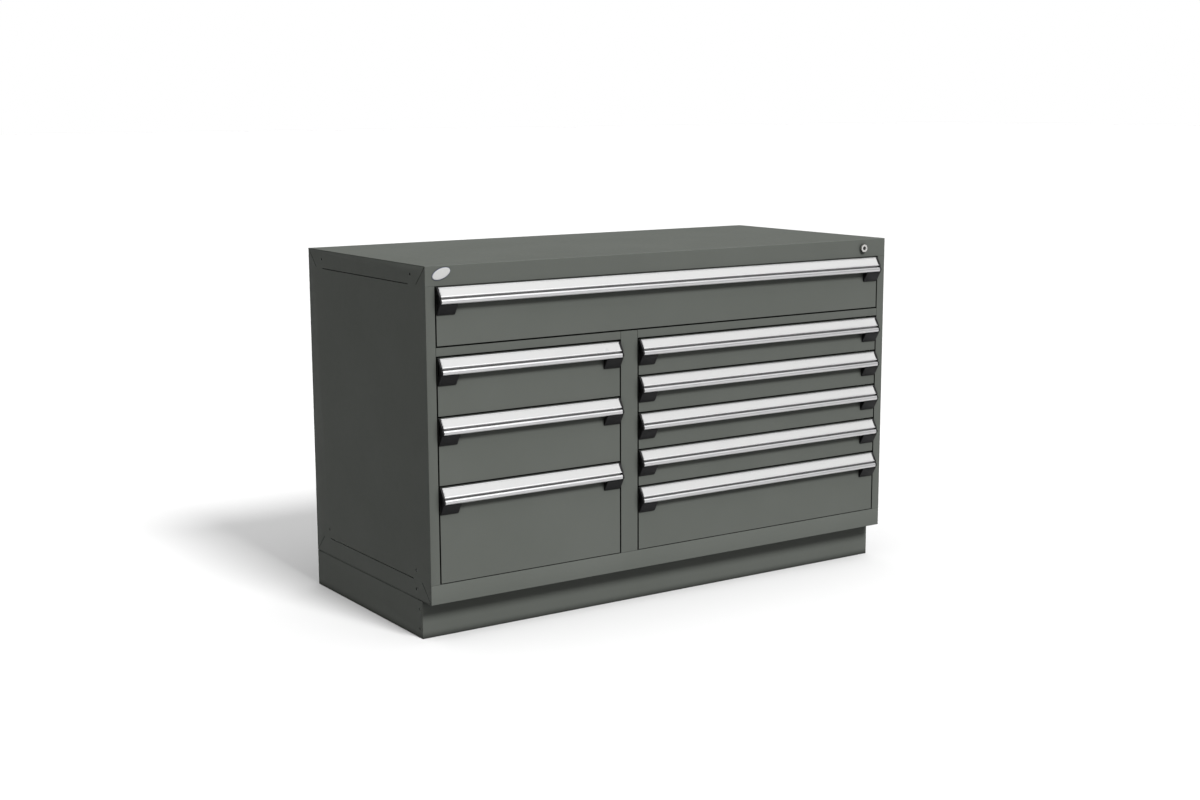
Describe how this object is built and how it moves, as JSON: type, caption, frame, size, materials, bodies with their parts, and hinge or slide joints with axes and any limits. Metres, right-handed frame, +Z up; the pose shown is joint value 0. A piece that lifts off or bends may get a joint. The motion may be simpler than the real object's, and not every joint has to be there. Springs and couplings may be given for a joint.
{
  "type": "modular drawer cabinet",
  "caption": "Wide standing steel drawer cabinet on a recessed plinth: a full-width drawer over two columns, with full-width label-holder handles and a key lock.",
  "frame": {"origin": "on the floor, under the centre of the bounding box", "axes": "+X along the width, to the right as one faces the drawers; +Y to the back, so the drawers open towards -Y; +Z up"},
  "size_m": [1.524, 0.7078, 0.9652],
  "materials": {
    "case_paint": "fine satin powder coat, dark warm grey",
    "label_holder": "satin anodised",
    "zinc_steel": "zinc plated",
    "chrome": "polished",
    "badge_white": "gloss"
  },
  "bodies": {
    "case": {"left_side_panel": "case_paint", "right_side_panel": "case_paint", "back_panel": "case_paint", "top_panel": "case_paint", "bottom_panel": "case_paint", "centre_partition": "case_paint", "centre_post": "case_paint", "divider_shelf": "case_paint", "filler_rail_left": "case_paint", "filler_rail_right": "case_paint", "base_front": "case_paint", "base_back": "case_paint", "base_left": "case_paint", "base_right": "case_paint", "left_wall_rack": "zinc_steel", "partition_left_rack": "zinc_steel", "partition_right_rack": "zinc_steel", "right_wall_rack": "zinc_steel", "lock_housing": "chrome", "badge": "badge_white"},
    "drawer_top": {"drawer_top": "case_paint", "handle_top": "label_holder"},
    "slides_top": {"slide_top_left": "zinc_steel", "slide_top_right": "zinc_steel"},
    "drawer_left_1": {"drawer_left_1": "case_paint", "handle_left_1": "label_holder"},
    "slides_left_1": {"slide_left_1_left": "zinc_steel", "slide_left_1_right": "zinc_steel"},
    "drawer_left_2": {"drawer_left_2": "case_paint", "handle_left_2": "label_holder"},
    "slides_left_2": {"slide_left_2_left": "zinc_steel", "slide_left_2_right": "zinc_steel"},
    "drawer_left_3": {"drawer_left_3": "case_paint", "handle_left_3": "label_holder"},
    "slides_left_3": {"slide_left_3_left": "zinc_steel", "slide_left_3_right": "zinc_steel"},
    "drawer_right_1": {"drawer_right_1": "case_paint", "handle_right_1": "label_holder"},
    "slides_right_1": {"slide_right_1_left": "zinc_steel", "slide_right_1_right": "zinc_steel"},
    "drawer_right_2": {"drawer_right_2": "case_paint", "handle_right_2": "label_holder"},
    "slides_right_2": {"slide_right_2_left": "zinc_steel", "slide_right_2_right": "zinc_steel"},
    "drawer_right_3": {"drawer_right_3": "case_paint", "handle_right_3": "label_holder"},
    "slides_right_3": {"slide_right_3_left": "zinc_steel", "slide_right_3_right": "zinc_steel"},
    "drawer_right_4": {"drawer_right_4": "case_paint", "handle_right_4": "label_holder"},
    "slides_right_4": {"slide_right_4_left": "zinc_steel", "slide_right_4_right": "zinc_steel"},
    "drawer_right_5": {"drawer_right_5": "case_paint", "handle_right_5": "label_holder"},
    "slides_right_5": {"slide_right_5_left": "zinc_steel", "slide_right_5_right": "zinc_steel"},
    "lock_plug": {"lock_plug": "chrome"},
    "lock_bars": {"lock_bar_left": "zinc_steel", "lock_bar_right": "zinc_steel", "lock_link": "zinc_steel"}
  },
  "joints": [
    {"name": "drawer_top_slide", "type": "slide", "parent": "case", "child": "drawer_top", "axis": [0, -1, 0], "range_m": [0, 0.6]},
    {"name": "slides_top_follow", "type": "slide", "parent": "case", "child": "slides_top", "axis": [0, -1, 0], "range_m": [0, 0.3]},
    {"name": "drawer_left_1_slide", "type": "slide", "parent": "case", "child": "drawer_left_1", "axis": [0, -1, 0], "range_m": [0, 0.6]},
    {"name": "slides_left_1_follow", "type": "slide", "parent": "case", "child": "slides_left_1", "axis": [0, -1, 0], "range_m": [0, 0.3]},
    {"name": "drawer_left_2_slide", "type": "slide", "parent": "case", "child": "drawer_left_2", "axis": [0, -1, 0], "range_m": [0, 0.6]},
    {"name": "slides_left_2_follow", "type": "slide", "parent": "case", "child": "slides_left_2", "axis": [0, -1, 0], "range_m": [0, 0.3]},
    {"name": "drawer_left_3_slide", "type": "slide", "parent": "case", "child": "drawer_left_3", "axis": [0, -1, 0], "range_m": [0, 0.6]},
    {"name": "slides_left_3_follow", "type": "slide", "parent": "case", "child": "slides_left_3", "axis": [0, -1, 0], "range_m": [0, 0.3]},
    {"name": "drawer_right_1_slide", "type": "slide", "parent": "case", "child": "drawer_right_1", "axis": [0, -1, 0], "range_m": [0, 0.6]},
    {"name": "slides_right_1_follow", "type": "slide", "parent": "case", "child": "slides_right_1", "axis": [0, -1, 0], "range_m": [0, 0.3]},
    {"name": "drawer_right_2_slide", "type": "slide", "parent": "case", "child": "drawer_right_2", "axis": [0, -1, 0], "range_m": [0, 0.6]},
    {"name": "slides_right_2_follow", "type": "slide", "parent": "case", "child": "slides_right_2", "axis": [0, -1, 0], "range_m": [0, 0.3]},
    {"name": "drawer_right_3_slide", "type": "slide", "parent": "case", "child": "drawer_right_3", "axis": [0, -1, 0], "range_m": [0, 0.6]},
    {"name": "slides_right_3_follow", "type": "slide", "parent": "case", "child": "slides_right_3", "axis": [0, -1, 0], "range_m": [0, 0.3]},
    {"name": "drawer_right_4_slide", "type": "slide", "parent": "case", "child": "drawer_right_4", "axis": [0, -1, 0], "range_m": [0, 0.6]},
    {"name": "slides_right_4_follow", "type": "slide", "parent": "case", "child": "slides_right_4", "axis": [0, -1, 0], "range_m": [0, 0.3]},
    {"name": "drawer_right_5_slide", "type": "slide", "parent": "case", "child": "drawer_right_5", "axis": [0, -1, 0], "range_m": [0, 0.6]},
    {"name": "slides_right_5_follow", "type": "slide", "parent": "case", "child": "slides_right_5", "axis": [0, -1, 0], "range_m": [0, 0.3]},
    {"name": "lock_bars_lift", "type": "slide", "parent": "case", "child": "lock_bars", "axis": [0, 0, 1], "range_m": [0, 0.01]},
    {"name": "lock_turn", "type": "hinge", "parent": "case", "child": "lock_plug", "pos_m": [0.676, -0.3319, 0.9398], "axis": [0, 1, 0], "range_deg": [0, 90]}
  ],
  "couplings": [
    {"joint": "slides_top_follow", "follows": "drawer_top_slide", "ratio": 0.5},
    {"joint": "slides_left_1_follow", "follows": "drawer_left_1_slide", "ratio": 0.5},
    {"joint": "slides_left_2_follow", "follows": "drawer_left_2_slide", "ratio": 0.5},
    {"joint": "slides_left_3_follow", "follows": "drawer_left_3_slide", "ratio": 0.5},
    {"joint": "slides_right_1_follow", "follows": "drawer_right_1_slide", "ratio": 0.5},
    {"joint": "slides_right_2_follow", "follows": "drawer_right_2_slide", "ratio": 0.5},
    {"joint": "slides_right_3_follow", "follows": "drawer_right_3_slide", "ratio": 0.5},
    {"joint": "slides_right_4_follow", "follows": "drawer_right_4_slide", "ratio": 0.5},
    {"joint": "slides_right_5_follow", "follows": "drawer_right_5_slide", "ratio": 0.5},
    {"joint": "lock_turn", "follows": "lock_bars_lift", "rad_per_m": 157.07}
  ]
}
